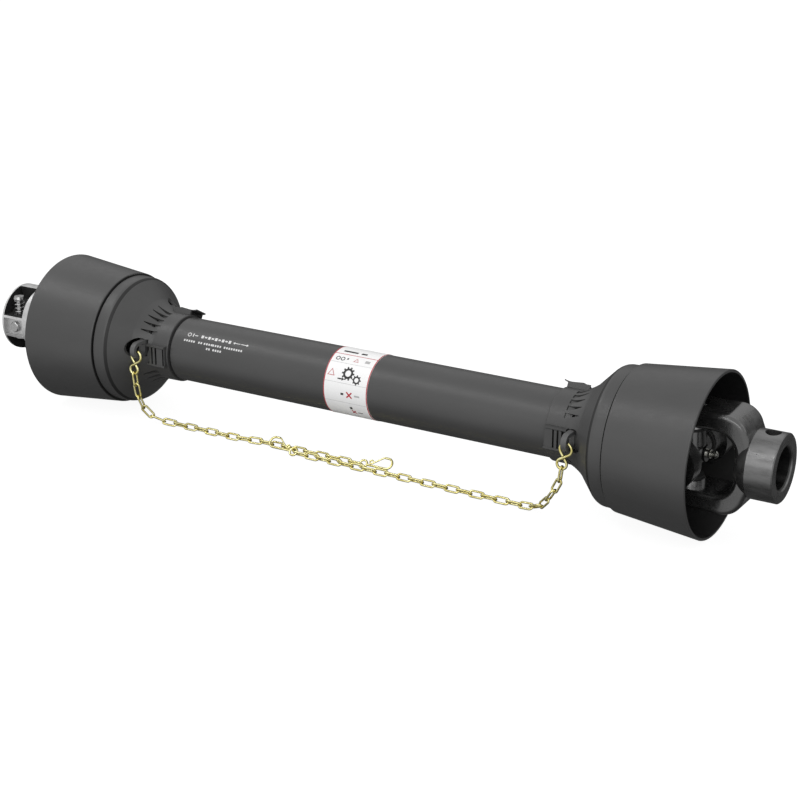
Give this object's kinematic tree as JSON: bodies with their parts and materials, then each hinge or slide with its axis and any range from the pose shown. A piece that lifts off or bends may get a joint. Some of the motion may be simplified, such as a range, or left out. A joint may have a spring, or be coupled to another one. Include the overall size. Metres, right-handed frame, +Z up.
{
  "type": "universal joint shaft",
  "caption": "Telescopic cardan drive shaft in a plastic guard, with a splined quick-release yoke, a bored yoke, flared bells and safety chains.",
  "frame": {"origin": "on the shaft's axis at the middle of its closed length", "axes": "+X along the shaft from the splined quick-release yoke to the bored yoke, +Z up with the guard's chain lugs facing -Y"},
  "size_m": [0.8, 0.1414, 0.1414],
  "materials": {
    "guard_plastic": "moulded dark grey polyethylene, satin",
    "bearing_nylon": "grey nylon, satin",
    "label_film": "white vinyl film printed in red and black",
    "zinc_chain": "yellow passivated zinc on steel",
    "forged_black": "black paint over a forged surface",
    "machined_steel": "oiled machined steel",
    "cast_grey": "phosphated casting",
    "tube_steel": "drawn steel tube, greased",
    "bearing_steel": "ground bearing steel",
    "spring_steel": "bright spring steel",
    "seal_rubber": "nitrile rubber, dull",
    "nipple_zinc": "bright zinc"
  },
  "bodies": {
    "guard_left": {"left_guard_bell": "guard_plastic", "left_guard_cone": "guard_plastic", "left_guard_latches": "guard_plastic", "left_guard_bearing": "bearing_nylon", "inner_guard_tube": "guard_plastic", "left_s_hook": "zinc_chain", "left_chain": "zinc_chain", "left_snap_hook": "zinc_chain"},
    "left_gate": {"left_snap_gate": "zinc_chain"},
    "guard_right": {"right_guard_bell": "guard_plastic", "right_guard_cone": "guard_plastic", "right_guard_latches": "guard_plastic", "right_guard_bearing": "bearing_nylon", "outer_guard_tube": "guard_plastic", "safety_label": "label_film", "right_s_hook": "zinc_chain", "right_chain": "zinc_chain", "right_snap_hook": "zinc_chain"},
    "right_gate": {"right_snap_gate": "zinc_chain"},
    "drive_left": {"left_tube_yoke": "forged_black", "left_tube_yoke_cups": "bearing_steel", "left_tube_yoke_needles": "bearing_steel", "left_tube_yoke_circlips": "spring_steel", "outer_drive_tube": "tube_steel", "left_roll_pin": "spring_steel"},
    "drive_right": {"right_tube_yoke": "forged_black", "right_tube_yoke_cups": "bearing_steel", "right_tube_yoke_needles": "bearing_steel", "right_tube_yoke_circlips": "spring_steel", "inner_drive_tube": "tube_steel", "right_roll_pin": "spring_steel"},
    "left_cross_kit": {"left_cross": "forged_black", "left_cross_seals": "seal_rubber", "left_grease_nipple": "nipple_zinc"},
    "right_cross_kit": {"right_cross": "forged_black", "right_cross_seals": "seal_rubber", "right_grease_nipple": "nipple_zinc"},
    "left_end_yoke": {"quick_release_yoke": "cast_grey", "left_end_yoke_cups": "bearing_steel", "left_end_yoke_needles": "bearing_steel", "left_end_yoke_circlips": "spring_steel", "push_pin_retainer": "bearing_steel", "push_pin_spring": "spring_steel"},
    "push_pin_body": {"push_pin": "bearing_steel"},
    "right_end_yoke": {"bored_yoke": "forged_black", "right_end_yoke_cups": "bearing_steel", "right_end_yoke_needles": "bearing_steel", "right_end_yoke_circlips": "spring_steel"}
  },
  "joints": [
    {"name": "telescope", "type": "slide", "parent": "guard_left", "child": "guard_right", "axis": [1, 0, 0], "range_m": [0, 0.24]},
    {"name": "shaft_spin", "type": "hinge", "parent": "guard_left", "child": "drive_left", "pos_m": [-0.222, 0, 0], "axis": [1, 0, 0], "continuous": true},
    {"name": "drive_telescope", "type": "slide", "parent": "drive_left", "child": "drive_right", "axis": [1, 0, 0], "range_m": [0, 0.24]},
    {"name": "left_cross_pivot", "type": "hinge", "parent": "drive_left", "child": "left_cross_kit", "pos_m": [-0.31, 0, 0], "axis": [0, 1, 0], "range_deg": [-30, 30]},
    {"name": "left_yoke_pivot", "type": "hinge", "parent": "left_cross_kit", "child": "left_end_yoke", "pos_m": [-0.31, 0, 0], "axis": [0, 0, 1], "range_deg": [-30, 30]},
    {"name": "right_cross_pivot", "type": "hinge", "parent": "drive_right", "child": "right_cross_kit", "pos_m": [0.32, 0, 0], "axis": [0, 1, 0], "range_deg": [-30, 30]},
    {"name": "right_yoke_pivot", "type": "hinge", "parent": "right_cross_kit", "child": "right_end_yoke", "pos_m": [0.32, 0, 0], "axis": [0, 0, 1], "range_deg": [-30, 30]},
    {"name": "push_pin_press", "type": "slide", "parent": "left_end_yoke", "child": "push_pin_body", "axis": [0, 0, -1], "range_m": [0, 0.01], "stiffness_N_per_m": 1500, "springref_m": -0.006, "deforming": ["push_pin_spring"]},
    {"name": "left_gate_hinge", "type": "hinge", "parent": "guard_left", "child": "left_gate", "pos_m": [0.0262, -0.02053, -0.06433], "axis": [0, 0.7071, -0.7071], "range_deg": [0, 14], "stiffness_Nm_per_rad": 0.02, "springref_deg": -17.19},
    {"name": "right_gate_hinge", "type": "hinge", "parent": "guard_right", "child": "right_gate", "pos_m": [-0.05935, -0.02793, -0.06433], "axis": [0, -0.7071, 0.7071], "range_deg": [0, 14], "stiffness_Nm_per_rad": 0.02, "springref_deg": -17.19}
  ],
  "couplings": [
    {"joint": "drive_telescope", "follows": "telescope", "ratio": 1}
  ]
}
